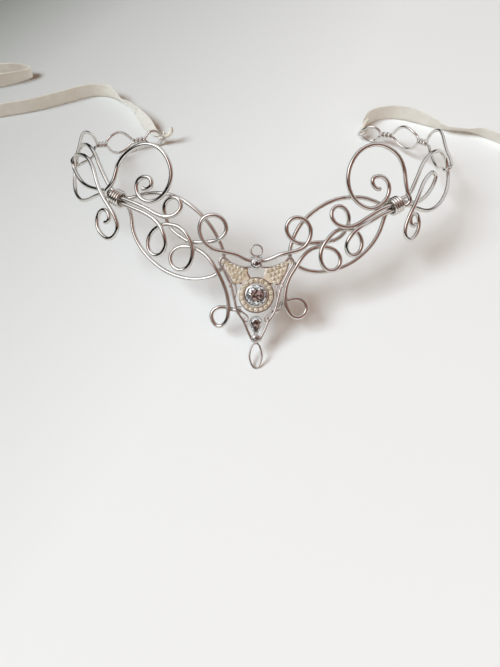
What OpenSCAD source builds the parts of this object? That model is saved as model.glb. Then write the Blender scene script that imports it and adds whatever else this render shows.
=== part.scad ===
// Wirework circlet tiara: two mirrored wings of bent round wire, a jewelled
// drop at the front, twisted wire ends and satin ribbon ties at the back.
// It rests on the tip of the drop and on the twisted ends. Millimetres, +Z up, front towards -Y.

/* [Wire] */
// Diameter of the wire that the scrolls are bent from
wire_d = 1.9; // [1:0.1:2]
// Diameter of the wire in the twisted back ends
chain_wire_d = 1.6; // [1:0.1:1.7]
// Diameter of the wire that binds each wing
binding_wire_d = 1.2; // [0.8:0.1:1.5]
// Sides of a wire's section
wire_sides = 6; // [5:1:12]
// Largest bend between two rings of a wire, in degrees
bend_step = 20; // [10:1:30]
// Turns of the coil that binds each wing
coil_turns = 3.5; // [2:0.5:5]

/* [Band] */
// Lean of the band towards the head, in degrees
band_lean = 19; // [10:1:30]
// Tilt of the whole tiara as it rests on its drop, in degrees
rest_tilt = 23; // [15:1:30]

/* [Drop] */
// Height of the drop from its tip to where the wires meet
drop_h = 46.5; // [40:0.5:55]
// Lean of the drop, in degrees
drop_lean = 27; // [20:1:35]
// Diameter of the centre stone
centre_d = 8.8; // [7:0.1:9]
// Number of stones in the ring round the centre stone
halo_count = 18; // [12:1:20]
// Diameter of a stone in the ring
halo_d = 1.8; // [1.2:0.1:1.9]
// Diameter of a stone in the two upper fields
field_d = 1.5; // [1:0.1:1.6]

/* [Ribbon] */
// Thickness of the satin ribbon
ribbon_t = 0.5; // [0.4:0.1:0.8]

/* [Hidden] */

silver = "gainsboro";
crystal = "aliceblue";
champagne = "antiquewhite";
satin = "linen";
left = -1;
right = 1;
gap = 0.3;
$fn = 32;

// The band follows a curve round the head. Columns: along the band, heading, climb in degrees.
band_form = [
    [0, 5, 18], [20, 15, 16], [45, 26, 14], [75, 38, 9], [105, 56, 6],
    [130, 80, 4], [160, 114, 2], [200, 160, 0], [230, 170, 0]];
band_len = 230;
headings = [for (row = band_form) [row[0], row[1]]];
climbs = [for (row = band_form) [row[0], row[2]]];

// Every wire table below has the columns: along the band, up the band, layer out from the band.
// Layers 1 and -1 are the front and back of the binding, layer_d further out than its middle.
layer_d = (wire_d + 2 * gap) / 2;
// From the end of the S scroll's curl, round the S scroll, through the binding and both loops.
upper_left = [
    [73.5, -11, 1.5], [71.5, -8.5, 1.5], [73.5, -6, 1.5], [77, -6.5, 1.5], [79, -10.5, 1.5],
    [78, -14.2, 1.5], [73.5, -17, 1.5], [68.5, -16.8, 1.5], [65.5, -13, 1.5], [65.3, -9.3, 1.8],
    [68, -5.6, 2.3], [72.6, -2.5, 2.7], [78, 0.8, 2.9], [83.2, 4.7, 2.6], [87.5, 8.6, 2.4],
    [93.5, 11.4, 2.2], [102.5, 10.9, 2.2], [109, 7.6, 2.1], [109.3, 4, 2], [104, 1, 1.6],
    [98.5, -0.5, 1.2], [91.5, -0.5, 1], [83.5, 1, 0.9], [78.5, 2.1, 0.9], [74, 2.6, 0.9],
    [70.5, 2.6, 0.9], [67, 2.6, 0.9], [60.5, 3.1, 0.9], [52.5, 3.2, 0.9], [44.5, 3.2, 0.9],
    [39.5, 6.3, 0.4], [38.7, 10.3, 0], [41, 12.4, -0.1], [44.5, 11.3, -0.4], [46.5, 8, -0.7],
    [46, 5, -1], [43.7, 1.5, -1.6], [40.7, -0.9, -2], [35, -2.3, -1.4], [30, -2.6, -0.9],
    [26, -1.2, -0.9], [21, 1, -0.6], [17.5, 3.8, 0.2], [16.3, 8, 0.3], [19, 11.5, 0.4],
    [23.7, 11.8, 0.6], [27.2, 8.7, 0.9], [27.2, 4.4, 0.9], [23.5, 0.1, 0.9], [18.7, -1.5, 0.8],
    [14, -0.9, 0.5], [8, -0.5, -0.5]];
upper_right = [
    [76.5, -12, 1.5], [74, -12, 1.5], [73.4, -10, 1.5], [75, -7.7, 1.5], [77.5, -7.8, 1.5],
    [78.6, -10.8, 1.5], [77.5, -14.3, 1.5], [74.2, -17, 1.5], [70.5, -17.4, 1.5], [68.5, -14.8, 1.6],
    [69.2, -11.1, 1.9], [71.8, -7.4, 2.4], [76.3, -3.3, 2.9], [80.5, 0.2, 2.9], [85.2, 3.4, 2.5],
    [90.7, 5.4, 2.3], [95.4, 5, 2.2], [96.8, 2.9, 2.1], [95.2, 0.6, 1.8], [91, -1.7, 1.5],
    [86.5, -3.2, 1.2], [81.5, -3.5, 0.9], [77, -2.3, 0.7], [73.5, -0.9, 0.7],
    [71, 0.4, 0.9], [68, 0.6, 0.9], [64.5, 0.7, 0.9], [59.5, 0.9, 0.9],
    [52, 0.1, 0.9], [44.5, -0.6, 1.2], [39.5, 0.9, 1.3], [36.7, 4.3, 0.6], [37, 7.9, 0],
    [40.5, 9.5, -0.6],
    [43.7, 7.5, -0.8], [44.7, 4, -1], [43.5, 0, -1.6], [40.5, -2.7, -2], [35.8, -3.7, -1.6],
    [31, -2.7, -0.9], [26, -1.2, -0.9], [22, -0.2, -0.9], [18.5, 1.8, -0.2], [16.3, 5.3, 0.2],
    [16.5, 9.2, 0.3], [20, 11.7, 0.5], [24, 10.2, 0.8], [25.8, 6, 0.9], [24, 1.3, 0.9],
    [20.5, -1.2, 0.9], [16, -1.4, 0.4], [10, -0.8, -0.3]];
// From the inner end of the big scroll, through the binding, three loops and down beside the drop.
lower_left = [
    [58.3, 10.4, 0.6], [55.5, 11.5, 0.6], [54.5, 13.7, 0.6], [55.9, 15.5, 0.6], [58.7, 15.3, 0.6],
    [61.8, 12, 0.6], [61.2, 8.9, 0.6], [58, 6.3, 0.6], [53, 6.4, 0.6], [48.9, 9.6, 0.6],
    [46.7, 14.2, 0.7], [46.6, 20.5, 0.9], [50.2, 26, 1], [55.6, 28.8, 1.1], [62, 28.1, 1.4],
    [69, 22.4, 2], [72.7, 15.2, 2.2], [72.6, 9.3, 2.6], [73.8, 5.3, 3], [75, 3, 3],
    [75, 1.2, 2.3], [73, 0.4, 1], [70.5, 0.4, 0.9], [67, 0.4, 0.9], [60, 0.8, 0.9],
    [52.5, 1, 1], [45.5, -0.4, 1.4], [41, -3.9, 1.8], [39.4, -8.6, 1], [41.2, -13.2, 0.6],
    [44.5, -14.3, 0.4], [48, -11.6, 0.2], [48.7, -7.5, 0], [46.5, -2.8, 0], [43.5, -0.1, 0.1],
    [40, 1.2, 0.2], [36.5, 1.6, 0.4], [32.8, 0.6, 0.8], [29.3, -2, 1], [27.1, -5.3, 1],
    [26.4, -9.3, 0.8], [27.3, -13.3, 0.5], [30.5, -15.7, 0.3], [34.5, -14.7, 0],
    [36.3, -11.8, -0.3], [35.2, -8, -0.6], [32, -5.5, -0.8], [28.5, -4.6, -0.9],
    [25, -4.6, -0.8], [21, -5.5, -0.4], [16.5, -8, 0.2], [12, -12, 0.3], [8.5, -16, 0.4],
    [5.7, -20.5, 0.6], [4.2, -25, 0.9], [4, -29.5, 0.7], [6.2, -32.4, 0.3], [9.5, -31, 0],
    [10.8, -28, -0.3], [8.7, -24.7, -0.7], [5, -23.5, -0.9]];
lower_right = [
    [62, 9.2, 0.6], [59.3, 11.3, 0.6], [59.4, 14, 0.6], [62.6, 14.6, 0.6], [65.3, 12.9, 0.6],
    [66.9, 8.8, 0.6], [65.2, 5.2, 0.6], [60.9, 2.9, 0.5], [55, 3, 0.5], [50.5, 6.4, 0.5],
    [47.8, 12, 0.6], [48, 18.5, 0.9], [51.6, 24.2, 1], [58.5, 27.7, 1], [65.8, 27, 1.1],
    [71, 23.5, 1.5], [74.4, 18.7, 2], [75.3, 12.7, 2.3], [74, 7.2, 2.7], [73.6, 2.6, 3],
    [74, -0.4, 2.9], [72.6, -1.9, 2.3], [70.8, -1.7, 1.1], [68, -1.6, 0.9],
    [64.5, -1.5, 0.9], [59, -1.4, 0.9], [52, -2, 1.1], [46, -2.2, 2],
    [41, -4, 2.1], [38.2, -7.8, 1.2],
    [39, -11.5, 0.6], [42, -12.9, 0.4], [45.5, -10.8, 0.2], [46.6, -7, 0], [45.3, -3.6, -0.1],
    [42.5, -1.5, -0.1], [38.5, 0, -0.1], [35, -0.2, 0.3], [31.3, -1.8, 0.9], [28.2, -4, 1],
    [26.2, -7.4, 1], [26.1, -11.4, 0.7], [28.5, -14.7, 0.4], [32.2, -15, 0.1], [34.7, -11.8, -0.2],
    [33.8, -7.7, -0.6], [30, -4.7, -0.9], [26, -3.4, -1], [22.3, -3.7, -0.8], [18.3, -5.6, -0.2],
    [14.8, -8.3, 0.2], [11, -11.5, 0.3], [8, -15.7, 0.4], [6.3, -20.2, 0.7], [6.2, -24.4, 0.9],
    [8, -28.5, 0.6], [11.5, -29, 0.2], [14, -26.3, -0.1], [12.7, -22.2, -0.5], [8.5, -20.7, -0.8],
    [4.5, -21.2, -0.8]];
// One closed wire: the leaf in front of the binding and the oval behind it.
leaf_left = [
    [70.5, 2.6, -0.9], [67.4, 2.7, -0.9], [64.6, 4, -1.3], [59.5, 7.4, -1.8], [54.5, 9.8, -1.8],
    [48.5, 11.8, -1.8],
    [41.5, 12.6, -1.8], [34, 11.3, -1.8], [28, 9.2, -1.8], [22.5, 6, -1.8], [17, 1.2, -1.8],
    [14.2, -2.5, -1.8], [13.2, -7, -1.8], [14.5, -11.5, -1.8], [18, -14.7, -1.8],
    [23.5, -17.5, -1.8], [29.5, -19, -1.8], [37.3, -19.4, -1.8], [45.6, -17.8, -1.8],
    [53.8, -14.3, -1.8], [59.7, -9.2, -1.8], [62.5, -4, -1.8], [64.8, -0.8, -1.4],
    [67.4, 0.3, -0.9], [70.5, 0.4, -0.9], [74, 0.4, -0.9], [78.5, 0.1, -0.9], [83.5, -0.9, -1],
    [88.6, -3.8, -1], [93.7, -7.2, -1],
    [99.6, -9.8, -1], [108, -10.1, -1], [116, -7.8, -1], [121.5, -3, -0.8], [123.5, 3, -0.7],
    [120, 9.3, -0.8], [112.5, 13.7, -1], [104.5, 15.3, -1], [96.7, 13.9, -1],
    [89.7, 10.1, -1], [84, 6.8, -1], [79, 4.3, -0.9], [74, 2.7, -0.9]];
leaf_right = [
    [68, 0.6, -0.9], [65, 0.8, -0.9], [62.5, 2.3, -1.3], [59, 5.2, -1.7],
    [54.7, 8, -1.8], [49, 10.4, -1.8],
    [42.2, 12.1, -1.8], [36.2, 12.1, -1.8], [30.8, 11.1, -1.8], [25.8, 9.4, -1.8],
    [21.3, 6.6, -1.8], [17.4, 2.6, -1.8], [14.9, -1.3, -1.8], [14.5, -5, -1.8], [16.7, -8.8, -1.8],
    [21.3, -12.6, -1.8], [26.7, -14.8, -1.8], [32.7, -16.1, -1.8], [39.5, -16.2, -1.8],
    [47.2, -14.6, -1.8], [53.5, -12, -1.8], [58.2, -8.8, -1.8], [61.4, -5.3, -1.7],
    [63.4, -2.7, -1.2], [65, -1.7, -0.9], [68, -1.6, -0.9], [71.5, -1.7, -0.9],
    [76.5, -3, -0.9], [82.7, -6.8, -1], [89.8, -10.6, -1], [99.5, -12.2, -0.8],
    [108.5, -10.8, -0.2], [116.5, -7.3, 0.5], [122, -2, 0.8], [123, 3.8, 0.5], [119, 8.3, -0.2],
    [112, 11, -0.8], [103.5, 11.8, -1], [95.3, 10.2, -1], [87.3, 5.5, -1], [79.5, 0.9, -1],
    [71.5, 0.7, -0.9]];
binding_at_left = [70.5, 1.5, 0];
binding_at_right = [68, -0.5, 0];

// A twisted end, from the link's fold to the end eye. Its two legs lie either side of a middle line.
// Columns: along the band, up the band, out from the band, half width, turn of the spread.
chain_left = [
    [119.5, 1, -0.8, 0, 85], [123.4, 1, -0.8, 2.1, 85], [130, 1.6, -2.6, 2.8, 75],
    [138, 2.8, -3.4, 4, 60], [144, 4, -2.6, 5.2, 48], [149.5, 4.8, -1.8, 5.8, 38],
    [154.5, 3.4, -1.2, 4, 15], [158.5, 0.8, -1.2, 0.95, 0],
    [166.5, -0.3, -1.5, 0.95, 540], [171, -0.6, -1.7, 5, 540],
    [175.5, -1, -2, 6.4, 540], [180.5, -1.3, -2.5, 4.6, 540], [185, -1, -3.2, 0.95, 540],
    [193, -0.3, -4, 0.95, 1080], [196.5, -0.1, -4.4, 4, 1095], [200.5, -0.1, -4.4, 4, 1095],
    [203.5, -0.1, -4.4, 0, 1095]];
chain_right = [
    [118.8, -1, 0.8, 0, 80], [122.8, -0.8, 0.8, 2.1, 80], [130, 0.8, -0.9, 4.4, 40],
    [137, 2.8, -1.1, 5.9, 33], [145, 5.3, -0.3, 6.4, 29], [151, 5, 0, 4.8, 20],
    [155.5, 2.5, -0.5, 0.95, 0], [163, 2.2, -0.5, 0.95, 540], [167.5, 2, -0.5, 4.8, 540],
    [173, 1.8, -0.4, 6.6, 540], [178.5, 1.5, 0, 4.8, 540], [183, 1, 0.4, 0.95, 540],
    [190.5, 0.6, 0.8, 0.95, 1080], [193.5, 0.2, 1.2, 3.9, 1080], [198.5, 0, 1.2, 3.9, 1080],
    [202, 0, 1.2, 0, 1080]];
twist_step = 60;
thin_sides = 5;

// Half outline of the drop's rim, from its top to its tip. Columns: across, up, out.
rim_half = [
    [5.5, -2.7, 0], [11, -0.9, 0], [14.7, 1.3, 0], [15.5, 0.2, 0], [13.4, -5, 0], [10.6, -11, 0],
    [9.2, -17, 0], [8, -21.5, 0], [5.2, -26, 0], [3.3, -30.5, 0]];
rim_top = [0, -2.2, 0];
rim_tip = [0, -34.8, 0];
rim_d = 1.2;
// The plain wire loop that hangs below the rim
loop_outline = [
    [0, -35.2, 0], [2.5, -39.2, 0], [2.4, -42.6, 0], [0, -46, 0], [-2.4, -42.6, 0], [-2.5, -39.2, 0]];
loop_d = 0.9;
// Small scrolls that fill the rim beside and below the centre. Columns: across, up, out.
side_scroll = [
    [9.2, -15.6, 0], [8.6, -12.2, 0], [9.6, -9.6, 0],
    [11, -9.6, 0.2], [11, -11.2, 0.3], [10, -11.4, 0.3]];
foot_scroll = [
    [7.9, -20.4, 0], [5.6, -22, 0], [3.5, -24.2, 0],
    [4.2, -25.8, 0.2], [5.4, -24.9, 0.3], [4.9, -24, 0.3]];
scroll_d = 0.8;
centre_up = -14.5;
top_up = -1.2;
pear_up = -26.2;
end_up = -33;
top_d = 3.4;
end_d = 2.4;
pear_r = 2.2;
pear_tail = 4.6;
halo_r = 6.35;
plate_t = 0.8;
bezel_wall = 0.5;
fit = 0.15;
girdle_out = 1.9;
small_girdle_out = 1.2;
table_share = 0.6;
crown_share = 0.16;
back_share = 0.34;
// Rows of stones in the upper fields. Columns: across, up, number of stones.
field_rows = [[4.4, -4.3, 7], [5.5, -5.9, 5], [6.9, -7.4, 3], [7.7, -9.1, 2]];
field_pitch = 1.75;
field_slope = 22;
field_plate = [
    [2, -7.6], [3.4, -5.2], [3.6, -3.2], [8, -2.2], [14.6, 0.9], [13, -4.2], [9.8, -10.2], [5.4, -9.8]];
ring_r = 2.4;
ring_up = 4.4;
ring_d = 0.9;
stem_d = 1;
stem_from = top_up + top_d / 2 + fit + 0.1;
// Tubes soldered behind the rim, which hold the wires' ends
sleeve_wall = 0.5;
sleeve_bore = wire_d + 2 * gap;
upper_sleeve = [0, 0.2, -1.9];
upper_sleeve_len = 5;
side_sleeve = [7.6, -21, -1.9];
side_sleeve_len = 2.4;

// Routes of the ribbons, which stand on their lower edge on the table.
// Columns: across, back, up, lean (90 is upright), width.
ribbon_left_route = [
    [-62, 166, 1.6, 50, 3], [-65.5, 168, 0.8, 50, 5], [-69.5, 172, 0.3, 55, 7.5],
    [-73.8, 178, 0.2, 68, 9], [-77.5, 185.5, 0.2, 85, 9], [-81.5, 194, 0.2, 105, 9],
    [-86, 200.7, 0.2, 120, 9], [-91, 205.5, 0.2, 110, 9], [-97, 210, 0.2, 95, 9],
    [-103, 212.7, 0.2, 91, 9], [-109, 213.2, 0.2, 90, 9], [-115, 211.9, 0.2, 90, 9],
    [-121, 209, 0.2, 90, 9], [-127, 205.6, 0.2, 90, 9], [-134, 201.8, 0.2, 90, 9],
    [-141, 198.2, 0.2, 90, 9], [-148, 195.2, 0.2, 90, 9], [-155, 192.8, 0.2, 90, 9],
    [-162, 190.6, 0.2, 90, 9], [-170, 188.2, 0.2, 90, 9], [-180, 187, 0.2, 90, 9],
    [-190, 190, 0.2, 90, 9], [-197, 198, 0.2, 90, 9], [-198, 208, 0.2, 90, 9],
    [-193, 216.5, 0.2, 90, 9], [-186, 221.5, 0.2, 90, 9], [-178.5, 224.5, 0.2, 90, 9],
    [-171, 228, 0.2, 85, 9], [-164.5, 232.5, 0.2, 80, 8], [-160.5, 236.3, 0.2, 80, 7],
    [-160, 239.5, 0.2, 90, 6.5], [-163.5, 241, 0.2, 95, 7.5], [-170, 240.5, 0.2, 95, 9],
    [-179, 239.5, 0.2, 92, 9], [-190, 239, 0.2, 90, 9]];
ribbon_right_route = [
    [63, 169.5, 2, 95, 3], [63.5, 173, 0.8, 92, 6], [66, 178.5, 0.2, 90, 9], [70.5, 183, 0.2, 90, 9],
    [76.5, 186, 0.2, 90, 9], [83.5, 187, 0.2, 90, 9], [90.5, 186, 0.2, 90, 9],
    [97, 183.4, 0.2, 88, 9], [103, 180.3, 0.2, 80, 9], [109, 177.4, 0.2, 65, 9],
    [115, 175.2, 0.2, 48, 9], [122, 173.8, 0.2, 46, 9], [129, 172.4, 0.2, 48, 9],
    [135, 169.8, 0.2, 58, 9], [141, 165.2, 0.2, 64, 9], [147, 160.2, 0.2, 65, 9],
    [153, 155.5, 0.2, 65, 9]];
// The knot round the fold of each end eye
knot_r = 2;
knot_cord_r = 1;

// Half of the tiara's depth without its ribbons, the shift that centres it from side to side,
// and the lift that stands it on the table
half_depth = 83;
mid_shift = -0.8;
lift = 0.13;

function unit(v) = v / norm(v);
function flat(v, t) = unit(v - (v * t) * t);
function mix(a, b, w) = a * (1 - w) + b * w;
function reversed(list) = [for (i = len(list) - 1; i >= 0; i = i - 1) list[i]];

// Direction of the band, its outward side and its slope upwards, before its lean
function ahead(s) = let (a = lookup(s, headings), g = lookup(s, climbs))
    [cos(a) * cos(g), sin(a) * cos(g), sin(g)];
function outward(s) = let (a = lookup(s, headings)) [sin(a), -cos(a), 0];
function upright(s) = cross(outward(s), ahead(s));
function band_up(s) = upright(s) * cos(band_lean) - outward(s) * sin(band_lean);
function band_out(s) = outward(s) * cos(band_lean) + upright(s) * sin(band_lean);

wires_meet = drop_h * [0, sin(drop_lean), cos(drop_lean)];
spine = [for (s = 0, p = wires_meet; s <= band_len; p = p + ahead(s + 0.5), s = s + 1) p];
function on_spine(s) = let (i = min(floor(s), band_len - 1)) mix(spine[i], spine[i + 1], s - i);

function mirrored(v, side) = [side * v[0], v[1], v[2]];
function layered(row) = [row[0], row[1], row[2] * layer_d];
// A place on the band as a point and the way that faces out there
function on_band(row, side) = [
    mirrored(on_spine(row[0]) + row[1] * band_up(row[0]) + row[2] * band_out(row[0]), side),
    mirrored(band_out(row[0]), side)];
// A place on the drop, in the same form. Columns: across, up, out.
function on_drop(row, side) = let (along = [0, sin(drop_lean), cos(drop_lean)],
                                   face = [0, -cos(drop_lean), sin(drop_lean)])
    [mirrored([row[0], 0, 0] + (drop_h + row[1]) * along + row[2] * face, side), face];

// Direction at the middle one of three points, on the circle through them
function arc_dir(a, b, c) = unit((c - b) / pow(norm(c - b), 2) + (b - a) / pow(norm(b - a), 2));
function reflect_dir(d, a, b) = let (u = unit(b - a)) 2 * (u * d) * u - d;
function dirs(p, closed) = let (n = len(p))
    [for (i = [0 : n - 1])
        closed || (i > 0 && i < n - 1) ? arc_dir(p[(i + n - 1) % n], p[i], p[(i + 1) % n])
        : i == 0 ? reflect_dir(arc_dir(p[0], p[1], p[2]), p[0], p[1])
        : reflect_dir(arc_dir(p[n - 3], p[n - 2], p[n - 1]), p[n - 2], p[n - 1])];
function angle(u, v) = acos(max(-1, min(1, u * v)));
function handle(d, u) = 2 / (3 * (1 + max(0, d * u)));
function bezier(a, b, c, d, t) =
    a * pow(1 - t, 3) + 3 * b * t * pow(1 - t, 2) + 3 * c * t * t * (1 - t) + d * pow(t, 3);

// A smooth path through stations, each a point and its facing. Round stretches come out as arcs.
function smooth(stations, closed = false) =
    let (p = [for (s = stations) s[0]], n = len(p), d = dirs(p, closed))
    [for (i = [0 : closed ? n - 1 : n - 2])
        let (j = (i + 1) % n, chord = norm(p[j] - p[i]), u = (p[j] - p[i]) / chord,
             turn = angle(d[i], u) + angle(u, d[j]), steps = max(1, ceil(turn / bend_step)),
             b = p[i] + d[i] * chord * handle(d[i], u), c = p[j] - d[j] * chord * handle(d[j], u))
        for (k = [0 : steps - 1])
            [bezier(p[i], b, c, p[j], k / steps), mix(stations[i][1], stations[j][1], k / steps)],
     if (!closed) stations[n - 1]];

// A wire along a path, one ring of points at each place
module wire(path, d, closed = false, sides = wire_sides) {
    n = len(path);
    last = closed ? n : n - 1;
    rings = [for (i = [0 : n - 1])
        let (before = closed || i > 0 ? path[(i + n - 1) % n][0] : path[0][0],
             after = closed || i < n - 1 ? path[(i + 1) % n][0] : path[n - 1][0],
             t = unit(after - before), a = flat(path[i][1], t), b = cross(t, a))
        for (k = [0 : sides - 1])
            path[i][0] + d / 2 * (cos(360 * k / sides) * a + sin(360 * k / sides) * b)];
    walls = [for (i = [0 : last - 1], k = [0 : sides - 1])
        let (m = (k + 1) % sides, r = i * sides, q = ((i + 1) % n) * sides)
        each [[r + k, q + k, q + m], [r + k, q + m, r + m]]];
    caps = closed ? [] : [[for (k = [0 : sides - 1]) k],
                          [for (k = [sides - 1 : -1 : 0]) (n - 1) * sides + k]];
    polyhedron(points = rings, faces = concat(walls, caps), convexity = 8);
}

// The tiara as it rests on the table
module at_rest() {
    translate([mid_shift, -half_depth, lift]) rotate([-rest_tilt, 0, 0]) children();
}

module wing_wire(rows, side, ends = []) {
    stations = concat([for (row = rows) on_band(layered(row), side)],
                      [for (row = ends) on_drop(row, side)]);
    at_rest() color(silver) wire(smooth(stations), wire_d);
}

upper_ends = [[3.4, 0.2, -1.9], [0.4, 0.2, -1.9]];
lower_ends = [[9.2, -21, -1.9], [6.6, -21, -1.9]];
module upper_wire_left() { wing_wire(upper_left, left, upper_ends); }
module upper_wire_right() { wing_wire(upper_right, right, upper_ends); }
module lower_wire_left() { wing_wire(lower_left, left, lower_ends); }
module lower_wire_right() { wing_wire(lower_right, right, lower_ends); }

module leaf_wire(rows, side) {
    path = smooth([for (row = rows) on_band(layered(row), side)], true);
    at_rest() color(silver) wire(path, wire_d, true);
}
module leaf_wire_left() { leaf_wire(leaf_left, left); }
module leaf_wire_right() { leaf_wire(leaf_right, right); }

// A coil round the four wires that pass through the binding
module binding_coil(at, side) {
    bundle_r = (wire_d + gap) / sqrt(2) + wire_d / 2;
    coil_r = bundle_r + gap + binding_wire_d / 2;
    pitch = binding_wire_d + gap / 2;
    step = 36;
    turns = [for (a = [0 : step : 360 * coil_turns])
        let (s = at[0] + pitch * (a / 360 - coil_turns / 2),
             up = at[1] + coil_r * cos(a), out = coil_r * sin(a))
        [on_band([s, up, out], side)[0],
         mirrored(band_up(s) * cos(a) + band_out(s) * sin(a), side)]];
    at_rest() color(silver) wire(turns, binding_wire_d, sides = thin_sides);
}
module binding_coil_left() { binding_coil(binding_at_left, left); }
module binding_coil_right() { binding_coil(binding_at_right, right); }

// The rows of a twisted end, with more of them where the spread turns
function turned(rows) = [for (i = [0 : len(rows) - 1])
    let (next = rows[min(i + 1, len(rows) - 1)], m = max(1, ceil(abs(next[4] - rows[i][4]) / twist_step)))
    for (k = [0 : m - 1]) mix(rows[i], next, k / m)];
function leg(row, way, side) = on_band(
    [row[0], row[1] + way * row[3] * cos(row[4]), row[2] + way * row[3] * sin(row[4])], side);

// A folded wire: link, twist, eye, twist and end eye, out along one leg and back along the other
module back_chain(rows, side) {
    places = turned(rows);
    last = len(places) - 1;
    there = [for (row = places) leg(row, 1, side)];
    back = [for (i = [last - 1 : -1 : 1]) leg(places[i], -1, side)];
    at_rest() color(silver) wire(smooth(concat(there, back), true), chain_wire_d, true, thin_sides);
}
module back_chain_left() { back_chain(chain_left, left); }
module back_chain_right() { back_chain(chain_right, right); }

// The drop is drawn flat, across and up from where the wires meet, with +Z towards the viewer
module on_the_drop() {
    at_rest() rotate([-drop_lean, 0, 0]) translate([0, 0, drop_h]) rotate([90, 0, 0]) children();
}
module both_sides() {
    children();
    mirror([1, 0, 0]) children();
}
module flat_wire(rows, d, closed = false) {
    wire(smooth([for (row = rows) [row, [0, 0, 1]]], closed), d, closed);
}
module bezel(up, d, h) {
    translate([0, up, -plate_t / 2]) difference() {
        cylinder(h = h + plate_t / 2, d = d + 2 * fit + 2 * bezel_wall);
        translate([0, 0, -1]) cylinder(h = h + plate_t + 2, d = d + 2 * fit);
    }
}
module pear_outline(grow) {
    hull() {
        translate([0, pear_up]) circle(r = pear_r + grow);
        translate([0, pear_up - pear_tail]) circle(r = 0.2 + grow);
    }
}
module sleeve(at, length) {
    translate([at[0] - length / 2, at[1], at[2]]) rotate([0, 90, 0]) difference() {
        cylinder(h = length, d = sleeve_bore + 2 * sleeve_wall);
        translate([0, 0, -1]) cylinder(h = length + 2, d = sleeve_bore);
    }
}
module drop_frame() {
    left_half = [for (row = reversed(rim_half)) mirrored(row, left)];
    on_the_drop() color(silver) {
        flat_wire(concat([rim_top], rim_half, [rim_tip], left_half), rim_d, true);
        flat_wire(loop_outline, loop_d, true);
        both_sides() flat_wire(side_scroll, scroll_d);
        both_sides() flat_wire(foot_scroll, scroll_d);
        both_sides() translate([0, 0, -plate_t / 2]) linear_extrude(plate_t) polygon(field_plate);
        translate([0, centre_up, -plate_t / 2]) difference() {
            cylinder(h = plate_t, r = halo_r + halo_d / 2 + 0.4);
            translate([0, 0, -1]) cylinder(h = plate_t + 2, d = centre_d + 2 * fit);
        }
        bezel(centre_up, centre_d, girdle_out);
        bezel(top_up, top_d, small_girdle_out);
        bezel(end_up, end_d, small_girdle_out);
        translate([0, 0, -plate_t / 2]) linear_extrude(plate_t + 1) difference() {
            pear_outline(fit + bezel_wall);
            pear_outline(fit);
        }
        translate([0, ring_up, 0]) rotate_extrude() translate([ring_r, 0]) circle(d = ring_d);
        translate([0, stem_from, 0]) rotate([-90, 0, 0])
            cylinder(h = ring_up - ring_r - stem_from, d = stem_d);
        sleeve(upper_sleeve, upper_sleeve_len);
        both_sides() sleeve(side_sleeve, side_sleeve_len);
    }
}

// A cut stone over a convex outline: a flat table, two rows of crown facets and a pointed back
module gem(outline, middle, width) {
    n = len(outline);
    table = [for (i = [0 : n - 1]) mix(middle, mix(outline[i], outline[(i + 1) % n], 0.5), table_share)];
    girdle = [for (p = outline) [p[0], p[1], 0]];
    top = [for (p = table) [p[0], p[1], crown_share * width]];
    back = [middle[0], middle[1], -back_share * width];
    facets = [for (i = [0 : n - 1]) let (j = (i + 1) % n)
        each [[j, i, n + i], [j, n + i, n + j], [i, j, 2 * n]]];
    flat_top = [for (i = [n - 1 : -1 : 0]) n + i];
    polyhedron(points = concat(girdle, top, [back]), faces = concat([flat_top], facets));
}
module cut_stone(d, sides) {
    gem([for (i = [0 : sides - 1]) d / 2 * [cos(360 * i / sides), sin(360 * i / sides)]], [0, 0], d);
}
module set_stone(up, d, out, sides) {
    on_the_drop() color(crystal) translate([0, up, out]) cut_stone(d, sides);
}
module centre_stone() { set_stone(centre_up, centre_d, girdle_out, 16); }
module top_stone() { set_stone(top_up, top_d, small_girdle_out, 10); }
module end_stone() { set_stone(end_up, end_d, small_girdle_out, 8); }
module pear_stone() {
    round_end = [for (a = [-30 : 30 : 210]) [pear_r * cos(a), pear_up + pear_r * sin(a)]];
    on_the_drop() color(crystal) translate([0, 0, small_girdle_out])
        gem(concat(round_end, [[0, pear_up - pear_tail]]), [0, pear_up - 0.6], 2 * pear_r);
}
module halo_stones() {
    on_the_drop() color(champagne) for (i = [0 : halo_count - 1])
        translate([0, centre_up, 0]) rotate([0, 0, 360 * (i + 0.5) / halo_count])
            translate([halo_r, 0, small_girdle_out]) cut_stone(halo_d, 8);
}
module field_stones(side) {
    on_the_drop() color(champagne) for (row = field_rows, i = [0 : row[2] - 1])
        translate([side * (row[0] + i * field_pitch * cos(field_slope)),
                   row[1] + i * field_pitch * sin(field_slope), small_girdle_out])
            cut_stone(field_d, 8);
}
module field_stones_left() { field_stones(left); }
module field_stones_right() { field_stones(right); }

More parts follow.
